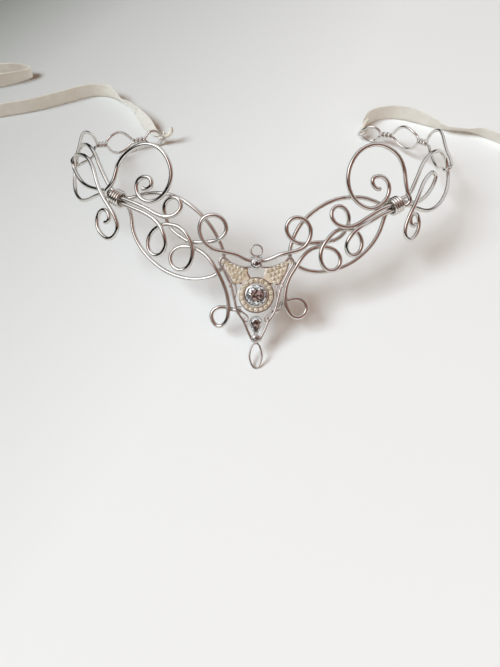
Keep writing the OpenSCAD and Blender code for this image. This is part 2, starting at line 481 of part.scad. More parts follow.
// Ribbon ties. Their places are on the table itself, measured from the tip of the drop.
module ribbon(route) {
    stations = smooth([for (p = route) [[p[0], p[1], p[2]], [p[3], p[4], 0]]]);
    m = len(stations);
    corners = [
        [-0.5, 0], [-0.49, -0.5], [0, -0.5], [0.49, -0.5], [0.5, 0], [0.49, 0.5], [0, 0.5], [-0.49, 0.5]];
    sides = len(corners);
    rings = [for (i = [0 : m - 1])
        let (t = unit(stations[min(i + 1, m - 1)][0] - stations[max(i - 1, 0)][0]),
             up = flat([0, 0, 1], t), across = cross(t, up),
             lean = stations[i][1][0], w = stations[i][1][1],
             wide = cos(lean) * across + sin(lean) * up, thick = cos(lean) * up - sin(lean) * across)
        for (c = corners) stations[i][0] + (c[0] + 0.5) * w * wide + c[1] * ribbon_t * thick];
    walls = [for (i = [0 : m - 2], k = [0 : sides - 1])
        let (j = (k + 1) % sides, r = i * sides, q = (i + 1) * sides)
        each [[r + k, q + j, q + k], [r + k, r + j, q + j]]];
    caps = [[for (k = [sides - 1 : -1 : 0]) k], [for (k = [0 : sides - 1]) (m - 1) * sides + k]];
    translate([mid_shift, -half_depth, 0]) color(satin)
        polyhedron(points = rings, faces = concat(walls, caps), convexity = 8);
}
module ribbon_left() { ribbon(ribbon_left_route); }
module ribbon_right() { ribbon(ribbon_right_route); }
module knot(rows, side) {
    fold = rows[len(rows) - 1];
    spread = mirrored(cos(fold[4]) * band_up(fold[0]) + sin(fold[4]) * band_out(fold[0]), side);
    at_rest() color(satin) translate(leg(fold, 1, side)[0])
        rotate([0, acos(spread[2]), atan2(spread[1], spread[0])])
            rotate_extrude($fn = 12) translate([knot_r, 0]) circle(r = knot_cord_r, $fn = 8);
}
module knot_left() { knot(chain_left, left); }
module knot_right() { knot(chain_right, right); }

upper_wire_left();
upper_wire_right();
lower_wire_left();
lower_wire_right();
leaf_wire_left();
leaf_wire_right();
binding_coil_left();
binding_coil_right();
back_chain_left();
back_chain_right();
drop_frame();
centre_stone();
top_stone();
pear_stone();
end_stone();
halo_stones();
field_stones_left();
field_stones_right();
knot_left();
knot_right();
ribbon_left();
ribbon_right();
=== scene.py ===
"""A wirework circlet tiara lying on white paper, with its jewelled drop and satin ribbon ties.
Sizes are in millimetres and turned to metres where a mesh is finished."""
import math

import bmesh
import bpy
import numpy as np
from mathutils import Matrix, Vector, noise


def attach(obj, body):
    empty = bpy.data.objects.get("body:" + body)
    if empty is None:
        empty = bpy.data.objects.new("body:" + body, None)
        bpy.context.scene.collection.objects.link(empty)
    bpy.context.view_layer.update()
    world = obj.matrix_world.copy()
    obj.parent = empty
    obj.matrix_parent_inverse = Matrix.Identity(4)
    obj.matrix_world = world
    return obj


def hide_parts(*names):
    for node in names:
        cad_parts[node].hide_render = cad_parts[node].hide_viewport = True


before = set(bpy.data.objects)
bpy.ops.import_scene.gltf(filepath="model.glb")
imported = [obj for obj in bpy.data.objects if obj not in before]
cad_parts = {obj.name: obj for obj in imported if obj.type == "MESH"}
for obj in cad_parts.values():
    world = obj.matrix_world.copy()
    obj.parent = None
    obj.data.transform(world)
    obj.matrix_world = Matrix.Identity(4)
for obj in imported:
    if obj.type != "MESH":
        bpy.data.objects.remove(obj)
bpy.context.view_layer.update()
MM = 0.001
TO_METRES = Matrix.Scale(MM, 4)

# The tiara's place on the table, as its solids have it
MID_SHIFT = -0.8
HALF_DEPTH = 83
LIFT = 0.13
REST_TILT = 23
DROP_LEAN = 27
DROP_H = 46.5


def turn_x(degrees):
    return Matrix.Rotation(math.radians(degrees), 4, "X")


ON_TABLE = TO_METRES @ Matrix.Translation((MID_SHIFT, -HALF_DEPTH, 0))
AT_REST = TO_METRES @ Matrix.Translation((MID_SHIFT, -HALF_DEPTH, LIFT)) @ turn_x(-REST_TILT)
# The drop is drawn flat: x across, y up from where the wires meet, z towards the viewer
ON_DROP = AT_REST @ turn_x(-DROP_LEAN) @ Matrix.Translation((0, 0, DROP_H)) @ turn_x(90)


# Camera, as solved from the photo: its place in millimetres and its angles in degrees

CAMERA_AT = Vector((1.4, -199.7, 192.5))
CAMERA_PITCH = 54.8
CAMERA_YAW = -2.1
CAMERA_ROLL = -1.2
LENS = 28.0
SENSOR = 36.0


def aim_camera():
    pitch, yaw, roll = (math.radians(a) for a in (CAMERA_PITCH, CAMERA_YAW, CAMERA_ROLL))
    forward = Vector((math.sin(yaw), math.cos(yaw), 0))
    ahead = forward * math.cos(pitch) - Vector((0, 0, math.sin(pitch)))
    level = Vector((math.cos(yaw), -math.sin(yaw), 0))
    above = level.cross(ahead)
    side = level * math.cos(roll) + above * math.sin(roll)
    top = above * math.cos(roll) - level * math.sin(roll)
    data = bpy.data.cameras.new("camera")
    data.sensor_fit = "VERTICAL"
    data.sensor_height = SENSOR
    data.lens = LENS
    data.clip_start = 0.01
    camera = bpy.data.objects.new("camera", data)
    bpy.context.scene.collection.objects.link(camera)
    aimed = Matrix((side, top, -ahead)).transposed().to_4x4()
    camera.matrix_world = Matrix.Translation(CAMERA_AT * MM) @ aimed
    bpy.context.scene.camera = camera


aim_camera()


# Materials

def paint(code):
    """The linear colour of an sRGB hex value."""
    channels = [int(code[i:i + 2], 16) / 255 for i in (1, 3, 5)]
    return [c / 12.92 if c <= 0.04045 else ((c + 0.055) / 1.055) ** 2.4 for c in channels] + [1]


def grey(level):
    return [level, level, level, 1]


def add_node(tree, kind, settings=None, inputs=None, stops=()):
    """Adds a node, gives it its settings, fills or links its inputs, and lays its colour stops."""
    made = tree.nodes.new(kind)
    for name, value in (settings or {}).items():
        setattr(made, name, value)
    for name, value in (inputs or {}).items():
        if isinstance(value, bpy.types.NodeSocket):
            tree.links.new(value, made.inputs[name])
        else:
            made.inputs[name].default_value = value
    for k in range(2, len(stops)):
        made.color_ramp.elements.new(k / len(stops))
    for k, (position, colour) in enumerate(stops):
        made.color_ramp.elements[k].position = position
        made.color_ramp.elements[k].color = colour
    return made


def new_material(name, surface):
    """A material whose function draws its patterns and returns what each of its sockets holds."""
    made = bpy.data.materials.new(name)
    made.use_nodes = True
    tree = made.node_tree
    tree.nodes.clear()
    shader = add_node(tree, "ShaderNodeBsdfPrincipled", inputs=surface(tree))
    add_node(tree, "ShaderNodeOutputMaterial", inputs={"Surface": shader.outputs["BSDF"]})
    return made


def grain(tree, size_mm):
    """A soft noise whose grains are that many millimetres across."""
    place = add_node(tree, "ShaderNodeTexCoord").outputs["Object"]
    return add_node(tree, "ShaderNodeTexNoise", inputs={
        "Vector": place, "Scale": 1 / (size_mm * MM), "Detail": 2.0}).outputs["Fac"]


def mottle(tree, size_mm, low, high, edge=0.3):
    """A colour or level that wanders between two, over grains of that size."""
    return add_node(tree, "ShaderNodeValToRGB", inputs={"Fac": grain(tree, size_mm)},
                    stops=((edge, low), (1 - edge, high))).outputs["Color"]


def dents(tree, size_mm, depth_mm, strength):
    """A skin with soft dents of that size and depth."""
    return add_node(tree, "ShaderNodeBump", inputs={
        "Height": grain(tree, size_mm),
        "Distance": depth_mm * MM,
        "Strength": strength}).outputs["Normal"]


# Aluminium wire, drawn through a die: a bright skin with slow waves left by hand bending
def drawn_aluminium(tree):
    return {
        "Base Color": mottle(tree, 9, paint("#d6d1cb"), paint("#e6e3df")),
        "Metallic": 1.0,
        "Roughness": mottle(tree, 4, grey(0.08), grey(0.14)),
        "Normal": dents(tree, 4, 0.01, 0.3)}


# Zinc alloy, cast and rhodium plated: brighter and harder than the wire, with soft pits in its skin
def plated_casting(tree):
    return {
        "Base Color": mottle(tree, 2.5, paint("#cfccc8"), paint("#e9e7e4")),
        "Metallic": 1.0,
        "Roughness": mottle(tree, 1.2, grey(0.12), grey(0.28)),
        "Normal": dents(tree, 0.8, 0.02, 0.4)}


# The painted reflections' noise runs over the way a facet faces and, so that no two stones match,
# its place
PLACE_PER_METRE = 150
TONE_SCALE = 7.0


def painted_facet_reflections(tree, dim, bright):
    """Painted reflections: tones that jump from facet to facet and drift over a large one, standing
    in for the room that the foil behind a stone throws back."""
    facet = add_node(tree, "ShaderNodeTexCoord")
    place = add_node(tree, "ShaderNodeVectorMath", {"operation": "SCALE"}, {
        0: facet.outputs["Object"], "Scale": PLACE_PER_METRE})
    facing = add_node(tree, "ShaderNodeVectorMath", {"operation": "ADD"}, {
        0: facet.outputs["Normal"], 1: place.outputs[0]})
    chance = add_node(tree, "ShaderNodeTexNoise", inputs={
        "Vector": facing.outputs[0], "Scale": TONE_SCALE, "Detail": 0.0})
    return add_node(tree, "ShaderNodeValToRGB", inputs={"Fac": chance.outputs["Fac"]},
                    stops=((0.42, dim), (0.58, bright))).outputs["Color"]


# Lead glass, cut, polished and foiled behind: each facet a clear mirror under a hard skin. Its
# colour holds painted reflections, dark or bright from facet to facet
def cut_crystal(tree):
    return {
        "Base Color": painted_facet_reflections(tree, paint("#5a5450"), paint("#fbfcfd")),
        "Metallic": 0.8,
        "Roughness": 0.03,
        "Coat Weight": 1.0,
        "Coat Roughness": 0.01,
        "Coat IOR": 1.62}


# Champagne glass, cut small and foiled: each stone a cluster of warm mirrors. Its colour holds
# painted reflections, dim or bright from facet to facet
def champagne_glass(tree):
    return {
        "Base Color": painted_facet_reflections(tree, paint("#c2b088"), paint("#fffbf0")),
        "Metallic": 0.4,
        "Roughness": 0.15,
        "Coat Weight": 1.0,
        "Coat Roughness": 0.02}


# Foil with a champagne lacquer, pressed into the plates under the small stones: warm and silky
def lacquered_foil(tree):
    return {
        "Base Color": mottle(tree, 1.6, paint("#e9dfc6"), paint("#faf4e4")),
        "Metallic": 0.5,
        "Roughness": 0.38,
        "Normal": dents(tree, 0.6, 0.03, 0.5)}


# Polyester satin, woven with long smooth threads along the ribbon. They are too fine to be seen
# one by one: the eye gets a silky sheen, soft ridges every three millimetres where they lie
# uneven, and light that soaks through the thin cloth. A wave turns 20 radians in a unit
SATIN_RIDGE = 3.1416
WAVE_TURN = 20


def woven_satin(tree):
    across = add_node(tree, "ShaderNodeUVMap", {"uv_map": "along_across"}).outputs["UV"]
    ridges = add_node(tree, "ShaderNodeTexWave", {"wave_type": "BANDS", "bands_direction": "Y"}, {
        "Vector": across,
        "Scale": math.tau / WAVE_TURN / (SATIN_RIDGE * MM),
        "Distortion": 1.0,
        "Detail": 1.0})
    weave = add_node(tree, "ShaderNodeBump", inputs={
        "Height": ridges.outputs["Fac"],
        "Distance": 0.05 * MM,
        "Strength": 0.25})
    return {
        "Base Color": mottle(tree, 7, paint("#d5cfc2"), paint("#e2dcd0"), 0.25),
        "Roughness": 0.42,
        "Sheen Weight": 0.35,
        "Sheen Roughness": 0.4,
        "Sheen Tint": paint("#fffaf0"),
        "Specular IOR Level": 0.55,
        "Subsurface Weight": 0.75,
        "Subsurface Radius": (1, 0.97, 0.9),
        "Subsurface Scale": 2 * MM,
        "Normal": weave.outputs["Normal"]}


# Drawing paper, sized and smooth, with painted shade in its colour: it greys evenly towards the far
# left, where the room's light falls off. Columns of the painted shade's tones: metres along that
# way from where they start, colour
PAINTED_SHADE_WAY = (-0.92, 0.39, 0)
PAINTED_SHADE_START = -0.2
PAINTED_PAPER_SHADE = [(0, "#f5f5f4"), (0.2, "#f0f0ef"), (0.4, "#c9c9c7"), (0.51, "#8c8f88")]


def smooth_paper(tree):
    place = add_node(tree, "ShaderNodeTexCoord").outputs["Object"]
    along = add_node(tree, "ShaderNodeVectorMath", {"operation": "DOT_PRODUCT"}, {
        0: place, 1: PAINTED_SHADE_WAY})
    reached = add_node(tree, "ShaderNodeMath", {"operation": "SUBTRACT"}, {
        0: along.outputs["Value"], 1: PAINTED_SHADE_START})
    # Painted shade: the paper's colour darkens along that way, standing in for the room's light
    # falling off
    tones = add_node(tree, "ShaderNodeValToRGB", inputs={"Fac": reached.outputs["Value"]},
                     stops=[(reach, paint(code)) for reach, code in PAINTED_PAPER_SHADE])
    return {
        "Base Color": tones.outputs["Color"],
        "Roughness": 0.85,
        "Specular IOR Level": 0.25,
        "Normal": dents(tree, 0.6, 0.02, 0.15)}


WIRE = new_material("drawn_aluminium", drawn_aluminium)
CASTING = new_material("plated_casting", plated_casting)
CRYSTAL = new_material("cut_crystal", cut_crystal)
CHAMPAGNE = new_material("champagne_glass", champagne_glass)
FOIL = new_material("lacquered_foil", lacquered_foil)
SATIN = new_material("woven_satin", woven_satin)
PAPER = new_material("smooth_paper", smooth_paper)


# Making a piece

def new_piece(name, bm, place, material, slot, smooth_below, *nodes):
    """Places a finished mesh, shades it, and lets it ride on the tiara for the nodes it replaces.
    Edges that turn by fewer degrees than smooth_below are smooth, and 0 leaves all facets flat."""
    bmesh.ops.transform(bm, matrix=place, verts=bm.verts)
    data = bpy.data.meshes.new(name)
    bm.to_mesh(data)
    bm.free()
    data.materials.append(material)
    for face in data.polygons:
        face.use_smooth = smooth_below > 0
    if 0 < smooth_below < 180:
        data.set_sharp_from_angle(angle=math.radians(smooth_below))
    piece = bpy.data.objects.new(name, data)
    bpy.context.scene.collection.objects.link(piece)
    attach(piece, "root")
    if nodes:
        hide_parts(*nodes)
    return piece


def smooth_path(points, steps, closed=False):
    """A smooth path through rows that begin with a place. Round stretches come out as arcs."""
    rows = [Vector(p) for p in points]
    count = len(rows)
    slopes = []
    for i in range(count):
        slope = rows[0] * 0
        for a, b in ((i - 1, i), (i, i + 1)):
            if closed or (a >= 0 and b < count):
                step = rows[b % count] - rows[a % count]
                slope += step / step.to_3d().length_squared
        slopes.append(slope / slope.to_3d().length)
    path = []
    for i in range(count if closed else count - 1):
        a, b = rows[i], rows[(i + 1) % count]
        reach = (b - a).to_3d().length
        leave, arrive = slopes[i] * reach, slopes[(i + 1) % count] * reach
        for k in range(steps):
            t = k / steps
            path.append(a + leave * t + (3 * (b - a) - 2 * leave - arrive) * t ** 2
                        + (2 * (a - b) + leave + arrive) * t ** 3)
    if not closed:
        path.append(rows[-1])
    return path


SECTION_SIDES = 12


def sweep(bm, path, section, closed=False, taper=None):
    """Extrudes a rounded section, given as width and thickness, along a path."""
    count = len(path)
    heads = []
    for i in range(count):
        before = path[i - 1] if closed or i > 0 else path[0]
        after = path[(i + 1) % count] if closed or i < count - 1 else path[-1]
        heads.append((after - before).normalized())
    ring = bmesh.ops.create_circle(bm, segments=SECTION_SIDES, radius=0.5)["verts"]
    flat = Matrix.Diagonal((*section, 1, 1))
    start = heads[0].to_track_quat("Z", "Y").to_matrix().to_4x4()
    bmesh.ops.transform(bm, matrix=Matrix.Translation(path[0]) @ start @ flat, verts=ring)
    edges = list({e for v in ring for e in v.link_edges})
    first = edges
    for i in range(1, count):
        grown = bmesh.ops.extrude_edge_only(bm, edges=edges)["geom"]
        ring = [g for g in grown if isinstance(g, bmesh.types.BMVert)]
        rim = set(ring)
        edges = [g for g in grown if isinstance(g, bmesh.types.BMEdge) and rim.issuperset(g.verts)]
        turn = heads[i - 1].rotation_difference(heads[i]).to_matrix().to_4x4()
        moved = Matrix.Translation(path[i]) @ turn @ Matrix.Translation(-path[i - 1])
        bmesh.ops.transform(bm, matrix=moved, verts=ring)
        if taper:
            share = taper(i / count) / taper((i - 1) / count)
            bmesh.ops.scale(bm, vec=[share] * 3, space=Matrix.Translation(-path[i]), verts=ring)
    if closed:
        bmesh.ops.bridge_loops(bm, edges=first + edges)
    else:
        for loop in (first, edges):
            bmesh.ops.contextual_create(bm, geom=loop)


# Bent wires: round wire swept along the middle line of each solid

WIRE_D = 1.9
CHAIN_WIRE_D = 1.6
BINDING_WIRE_D = 1.2
BEND_STEPS = 3
# Columns: the solids' name before left or right, sides that their wire has, thickness
WIRES = [
    ("upper_wire_", 6, WIRE_D),
    ("lower_wire_", 6, WIRE_D),
    ("leaf_wire_", 6, WIRE_D),
    ("binding_coil_", 5, BINDING_WIRE_D),
    ("back_chain_", 5, CHAIN_WIRE_D)]
# Corners this close in millimetres are one, and a ring's edges differ by less than this share
WELD = 0.002
SAME_LENGTH = 0.004


def next_ring(ring, visited):
    """The vertices one edge past a ring, without those of the ring before it."""
    found = {e.other_vert(v) for v in ring for e in v.link_edges}
    return found - ring - visited


def joined(start, allowed):
    """The allowed vertices that hang together with the first one."""
    ring, todo = {start}, [start]
    while todo:
        vert = todo.pop()
        for edge in vert.link_edges:
            other = edge.other_vert(vert)
            if other in allowed and other not in ring:
                ring.add(other)
                todo.append(other)
    return ring


def ring_of(start, side, sides):
    """The vertices met by walking along edges of a ring's own length."""
    ring = {start}
    here = start
    for _ in range(sides):
        ways = [e.other_vert(here) for e in here.link_edges
                if abs(e.calc_length() - side) < side * SAME_LENGTH]
        fresh = [v for v in ways if v not in ring]
        if not fresh:
            break
        here = fresh[0]
        ring.add(here)
    return ring


def middle_line(node, sides):
    """The middles of a wire solid's rings in order, in millimetres, and whether it is closed."""
    bm = bmesh.new()
    bm.from_mesh(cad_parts[node].data)
    bmesh.ops.remove_doubles(bm, verts=bm.verts, dist=WELD * MM)
    # The longest edge runs along the wire, and the shortest at its start lies on a ring
    start, beside = max(bm.edges, key=lambda e: e.calc_length()).verts
    side = min(e.calc_length() for e in start.link_edges)
    ring = joined(start, ring_of(start, side, sides))
    both = next_ring(ring, set())
    ahead = joined(beside, both)
    closed = False
    lines = []
    for first in (ahead, both - ahead):
        line, last, here = [], ring, first
        while here:
            line.append(here)
            fresh = next_ring(here, last)
            if ring & fresh or (lines and lines[0] and fresh & lines[0][-1]):
                closed = True
                break
            last, here = here, fresh
        lines.append(line)
        if closed:
            break
    rings = [ring] + lines[0] if closed else lines[1][::-1] + [ring] + lines[0]
    middles = [sum((v.co for v in r), Vector()) / len(r) / MM for r in rings]
    bm.free()
    return middles, closed


for side in ("left", "right"):
    for name, sides, d in WIRES:
        middles, closed = middle_line(name + side, sides)
        bm = bmesh.new()
        sweep(bm, smooth_path(middles, BEND_STEPS, closed), (d, d), closed)
        bmesh.ops.recalc_face_normals(bm, faces=bm.faces)
        new_piece("bent_" + name + side, bm, TO_METRES, WIRE, "wire", 60, name + side)


# The drop, in its own flat frame. What lies on its right side alone is mirrored for the left

RIM_HALF = [
    (5.5, -2.7, 0), (11, -0.9, 0), (14.7, 1.3, 0), (15.5, 0.2, 0), (13.4, -5, 0), (10.6, -11, 0),
    (9.2, -17, 0), (8, -21.5, 0), (5.2, -26, 0), (3.3, -30.5, 0)]
RIM_TOP = (0, -2.2, 0)
RIM_TIP = (0, -34.8, 0)
RIM_D = 1.2
RIM_STEPS = 6
LOOP_OUTLINE = [
    (0, -35.2, 0), (2.5, -39.2, 0), (2.4, -42.6, 0), (0, -46, 0), (-2.4, -42.6, 0),
    (-2.5, -39.2, 0)]
LOOP_D = 0.9
LOOP_STEPS = 8
SIDE_SCROLL = [
    (9.2, -15.6, 0), (8.6, -12.2, 0), (9.6, -9.6, 0), (11, -9.6, 0.2), (11, -11.2, 0.3),
    (10, -11.4, 0.3)]
FOOT_SCROLL = [
    (7.9, -20.4, 0), (5.6, -22, 0), (3.5, -24.2, 0), (4.2, -25.8, 0.2), (5.4, -24.9, 0.3),
    (4.9, -24, 0.3)]
SCROLL_D = 0.8
SCROLL_STEPS = 6
FIELD_PLATE = [
    (2, -7.6), (3.4, -5.2), (3.6, -3.2), (8, -2.2), (14.6, 0.9), (13, -4.2), (9.8, -10.2),
    (5.4, -9.8)]
FIELD_LINING = [
    (2.9, -7.8), (4, -5.4), (4.2, -3.7), (7.9, -2.7), (13.7, 0), (12.6, -4.1), (9.5, -9.6),
    (5.7, -9.3)]
PLATE_T = 0.8
PLATE_ROUNDING = 0.2
LINING_T = 0.12
LINING_SUNK = 0.1
LINING_FROM_WALL = 0.15
LINING_FROM_STONES = 0.1
RING_UP, RING_R, RING_D = 4.4, 2.4, 0.9
RING_STEPS = 40
STEM_FOOT, STEM_D = 0.75, 1.0
# Solder sleeves behind the drop. Columns: across, up, length
SLEEVES = [(0, 0.2, 5), (7.6, -21, 2.4), (-7.6, -21, 2.4)]
SLEEVE_OUT = -1.9
SLEEVE_D = 3.5

# Stones and their settings. UP is the height on the drop, and OUT how far in front of it
CENTRE_UP, CENTRE_D = -14.5, 8.8
TOP_UP, TOP_D = -1.2, 3.4
END_UP, END_D = -33, 2.4
# The pear's setting: its head, how far its tail's middle lies below the head's, and its tail
PEAR_UP, PEAR_R, PEAR_TAIL, PEAR_TAIL_R = -26.2, 2.2, 4.6, 0.2
PEAR_STONE_TAIL, PEAR_NARROWING = 4.7, 0.25
PEAR_WALL_OUT, PEAR_WALL_H = 0.35, 1.7
PEAR_HEAD_STEPS, PEAR_TAIL_STEPS = 18, 4
GIRDLE_OUT = 1.9
SMALL_GIRDLE_OUT = 1.2
BEZEL_WALL = 0.5
FIT = 0.15
BEZEL_STEPS = 48
HALO_R, HALO_D, HALO_COUNT = 6.35, 1.8, 18
HALO_RIM = 0.4
HALO_STEPS = 72
# Two rows of beads hold each row of small stones, at these distances from the stones' middles
HALO_BEADS = (-0.62, 0.66)
HALO_BEAD_D = 0.5
HALO_BEAD_OUT = 1.3
# Columns of a field's rows: across and up of the first stone, number of stones
FIELD_ROWS = [(4.4, -4.3, 7), (5.5, -5.9, 5), (6.9, -7.4, 3), (7.7, -9.1, 2)]
FIELD_D, FIELD_PITCH, FIELD_SLOPE = 1.5, 1.75, 22
FIELD_BEADS = (0.75, -0.72)
FIELD_BEAD_D = 0.42
FIELD_BEAD_OUT = 0.85


def mirrored(rows):
    return [(-row[0], *row[1:]) for row in rows]


def round_places(r, up, count, shift=0):
    """Places evenly round a circle on the drop, the first of them shifted by a share of a pitch."""
    turns = [math.tau * (i + shift) / count for i in range(count)]
    return [(r * math.cos(a), up + r * math.sin(a)) for a in turns]


def field_places(way, shift=0):
    """Where a field's stones sit, shifted along their rows by a share of a pitch."""
    slope = math.radians(FIELD_SLOPE)
    for x, y, count in FIELD_ROWS:
        for i in range(count):
            run = (i + shift) * FIELD_PITCH
            yield way * (x + run * math.cos(slope)), y + run * math.sin(slope)


def turned(bm, profile, up, steps):
    """Spins a closed profile, given as radius and height, about its axis on the drop."""
    corners = [bm.verts.new((r, up, z)) for r, z in profile]
    outline = [bm.edges.new(ends) for ends in zip(corners, corners[1:] + corners[:1])]
    bmesh.ops.spin(bm, geom=corners + outline, cent=(0, up, 0), axis=(0, 0, 1),
                   angle=math.tau, steps=steps, use_merge=True)


def slab(bm, outline, low, high, rounding=0):
    """A flat plate, extruded from its outline, with its top edge rounded by so much."""
    face = bm.faces.new([bm.verts.new((x, y, low)) for x, y in outline])
    grown = bmesh.ops.extrude_face_region(bm, geom=[face])["geom"]
    top = {g for g in grown if isinstance(g, bmesh.types.BMVert)}
    bmesh.ops.translate(bm, vec=(0, 0, high - low), verts=list(top))
    if rounding:
        edges = {e for v in top for e in v.link_edges if top.issuperset(e.verts)}
        bmesh.ops.bevel(bm, geom=list(edges), offset=rounding, affect="EDGES", segments=2,
                        profile=0.5, material=-1)


def bezel(bm, up, d, h):
    """A setting's wall, with its top edge turned in over the stone."""
    inner = d / 2 + FIT
    outer = inner + BEZEL_WALL
    turned(bm, [
        (inner, -PLATE_T / 2), (outer, -PLATE_T / 2), (outer + 0.1, 0.2), (outer, h - 0.1),
        (outer - 0.12, h + 0.12), (inner - 0.2, h + 0.3), (inner - 0.22, h + 0.14), (inner, h)],
        up, BEZEL_STEPS)


def halo_plate(bm):
    """The round plate with a raised rim that carries the ring of small stones."""
    inner = CENTRE_D / 2 + FIT
    outer = HALO_R + HALO_D / 2 + HALO_RIM
    top = PLATE_T / 2
    turned(bm, [
        (inner, -top), (outer, -top), (outer + 0.1, 0.1), (outer, top + 0.2),
        (outer - 0.25, top + 0.25), (outer - HALO_RIM, top), (inner, top)],
        CENTRE_UP, HALO_STEPS)


def pear_wall(bm):
    """The pear stone's setting: a round head drawn to a small tail, a little outside the stone."""
    grow = FIT + BEZEL_WALL / 2
    head, tail = PEAR_R + grow, PEAR_TAIL_R + grow
    lean = math.asin((head - tail) / PEAR_TAIL)
    arc = [(head, PEAR_UP, -lean + (math.pi + 2 * lean) * i / PEAR_HEAD_STEPS)
           for i in range(PEAR_HEAD_STEPS + 1)]
    arc += [(tail, PEAR_UP - PEAR_TAIL, math.pi + lean + (math.pi - 2 * lean) * i / PEAR_TAIL_STEPS)
            for i in range(PEAR_TAIL_STEPS + 1)]
    path = [Vector((r * math.cos(a), up + r * math.sin(a), PEAR_WALL_OUT)) for r, up, a in arc]
    sweep(bm, path, (BEZEL_WALL, PEAR_WALL_H), True)


def drop_wires(bm):
    """The rim, lower loop, scrolls, hanging ring with its stem, and the solder sleeves."""
    rim = [RIM_TOP] + RIM_HALF + [RIM_TIP] + mirrored(reversed(RIM_HALF))
    sweep(bm, smooth_path(rim, RIM_STEPS, True), (RIM_D, RIM_D), True)
    sweep(bm, smooth_path(LOOP_OUTLINE, LOOP_STEPS, True), (LOOP_D, LOOP_D), True)
    for rows in (SIDE_SCROLL, FOOT_SCROLL):
        for half in (rows, mirrored(rows)):
            sweep(bm, smooth_path(half, SCROLL_STEPS), (SCROLL_D, SCROLL_D))
    ring = [Vector((x, y, 0)) for x, y in round_places(RING_R, RING_UP, RING_STEPS)]
    sweep(bm, ring, (RING_D, RING_D), True)
    stem = [Vector((0, STEM_FOOT, 0)), Vector((0, RING_UP - RING_R, 0))]
    sweep(bm, stem, (STEM_D, STEM_D))
    for x, y, length in SLEEVES:
        ends = [Vector((x + way * length / 2, y, SLEEVE_OUT)) for way in (-1, 1)]
        sweep(bm, ends, (SLEEVE_D, SLEEVE_D))


def drop_beads(bm):
    """The small beads of metal that hold the small stones."""
    held = []
    for step in HALO_BEADS:
        held += [(x, y, HALO_BEAD_OUT, HALO_BEAD_D)
                 for x, y in round_places(HALO_R + step, CENTRE_UP, HALO_COUNT)]
    for way in (1, -1):
        for aside in FIELD_BEADS:
            held += [(x, y + aside, FIELD_BEAD_OUT, FIELD_BEAD_D)
                     for x, y in field_places(way, 0.5)]
    for x, y, out, d in held:
        bmesh.ops.create_icosphere(bm, subdivisions=2, radius=d / 2,
                                   matrix=Matrix.Translation((x, y, out)))


def drop_setting():
    bm = bmesh.new()
    drop_wires(bm)
    for rows in (FIELD_PLATE, mirrored(FIELD_PLATE)):
        slab(bm, rows, -PLATE_T / 2, PLATE_T / 2, PLATE_ROUNDING)
    halo_plate(bm)
    bezel(bm, CENTRE_UP, CENTRE_D, GIRDLE_OUT)
    bezel(bm, TOP_UP, TOP_D, SMALL_GIRDLE_OUT)
    bezel(bm, END_UP, END_D, SMALL_GIRDLE_OUT)
    pear_wall(bm)
    drop_beads(bm)
    bmesh.ops.recalc_face_normals(bm, faces=bm.faces)
    new_piece("drop_setting", bm, ON_DROP, CASTING, "drop_metal", 50, "drop_frame")


def foil_lining():
    """Thin foil on the plates, inside their edges, that shows between the small stones."""
    bm = bmesh.new()
    low, high = PLATE_T / 2 - LINING_SUNK, PLATE_T / 2 + LINING_T
    for rows in (FIELD_LINING, mirrored(FIELD_LINING)):
        slab(bm, rows, low, high)
    inner = CENTRE_D / 2 + FIT + BEZEL_WALL + LINING_FROM_WALL
    outer = HALO_R + HALO_D / 2 - LINING_FROM_STONES
    turned(bm, [(inner, low), (outer, low), (outer, high), (inner, high)], CENTRE_UP, HALO_STEPS)
    bmesh.ops.recalc_face_normals(bm, faces=bm.faces)
    new_piece("foil_lining", bm, ON_DROP, FOIL, None, 40)


drop_setting()
foil_lining()


# Cut stones. Columns: share of the width out from the middle, turned by half a facet, share up
STONE_RINGS = [
    (0.56, 0, 0.165), (0.82, 1, 0.1), (1, 0, 0.02), (1, 1, 0.02), (1, 0, -0.02), (1, 1, -0.02),
    (0.52, 1, -0.2)]
BACK_SHARE = 0.34


def cut_stone(bm, at, d, facets, form=None):
    """Rings of points in the order that a cutter lays them, wrapped in flat facets."""
    points = []
    for share, half, up in STONE_RINGS:
        r = share * d / 2
        for i in range(facets):
            a = math.tau * (i + half / 2) / facets
            points.append(bm.verts.new((r * math.cos(a), r * math.sin(a), up * d)))
    points.append(bm.verts.new((0, 0, -BACK_SHARE * d)))
    if form:
        for point in points:
            point.co.x, point.co.y = form(point.co.x, point.co.y)
    hull = bmesh.ops.convex_hull(bm, input=points)
    spare = {g for g in hull["geom_interior"] + hull["geom_unused"]
             if isinstance(g, bmesh.types.BMVert)}
    kept = [p for p in points if p not in spare]
    bmesh.ops.delete(bm, geom=list(spare), context="VERTS")
    bmesh.ops.translate(bm, vec=at, verts=kept)


def pear_form(x, y):
    """Draws a round stone's lower half down to the pear's tail."""
    if y >= 0:
        return x, y
    share = -y / PEAR_R
    return x * (1 - PEAR_NARROWING * share), y * PEAR_STONE_TAIL / PEAR_R


# Columns: node, up, out, width, facets round it, form
CLEAR_STONES = [
    ("centre_stone", CENTRE_UP, GIRDLE_OUT, CENTRE_D, 12, None),
    ("top_stone", TOP_UP, SMALL_GIRDLE_OUT, TOP_D, 8, None),
    ("end_stone", END_UP, SMALL_GIRDLE_OUT, END_D, 8, None),
    ("pear_stone", PEAR_UP, SMALL_GIRDLE_OUT, 2 * PEAR_R, 10, pear_form)]
for node, up, out, d, facets, form in CLEAR_STONES:
    bm = bmesh.new()
    cut_stone(bm, (0, up, out), d, facets, form)
    bmesh.ops.dissolve_limit(bm, angle_limit=math.radians(1), verts=bm.verts, edges=bm.edges)
    bmesh.ops.recalc_face_normals(bm, faces=bm.faces)
    new_piece(node + "_cut", bm, ON_DROP, CRYSTAL, "clear_stone", 0, node)


